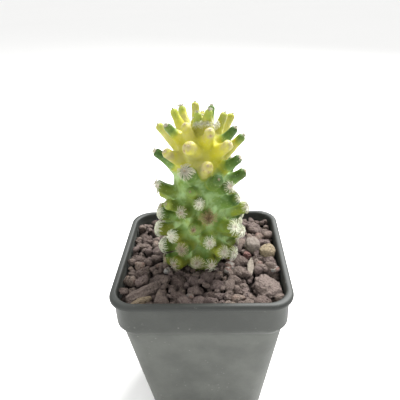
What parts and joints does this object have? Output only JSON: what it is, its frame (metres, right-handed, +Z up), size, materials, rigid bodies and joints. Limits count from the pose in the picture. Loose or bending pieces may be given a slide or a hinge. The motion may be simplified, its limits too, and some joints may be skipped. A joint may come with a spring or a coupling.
{
  "type": "potted variegated cochemiea theresae",
  "caption": "Small columnar cactus with long finger tubercles and feathery spines, yellow crown over green base, in a square nursery pot of lava gravel.",
  "frame": {"origin": "centre of the pot's base, on the surface that it stands on", "axes": "+Z up along the pot's and the plant's axis, +X and +Y square to the pot's walls, the pictured side facing -Y"},
  "size_m": [0.055, 0.055, 0.1112],
  "materials": {
    "pot_plastic": "dark grey-green moulded plastic, satin, lightly dusty",
    "lava_gravel": "rough brown-mauve lava and pumice granules",
    "cactus_skin": "waxy skin, chartreuse crown over green base, white feathery spines",
    "mauve_stone": "rough mauve lava",
    "grey_stone": "smooth grey pebble",
    "cream_stone": "rough cream pebble with dark specks",
    "red_stone": "dull red chip",
    "pale_stone": "pale pumice sliver",
    "tan_stone": "dull tan chip"
  },
  "bodies": {
    "root": {"pot": "pot_plastic", "soil": "lava_gravel", "cactus": "cactus_skin", "large_stone": "mauve_stone", "long_stone": "mauve_stone", "grey_pebble": "grey_stone", "cream_pebble": "cream_stone", "red_chip": "red_stone", "pale_sliver": "pale_stone", "tan_stone": "tan_stone"}
  },
  "joints": []
}
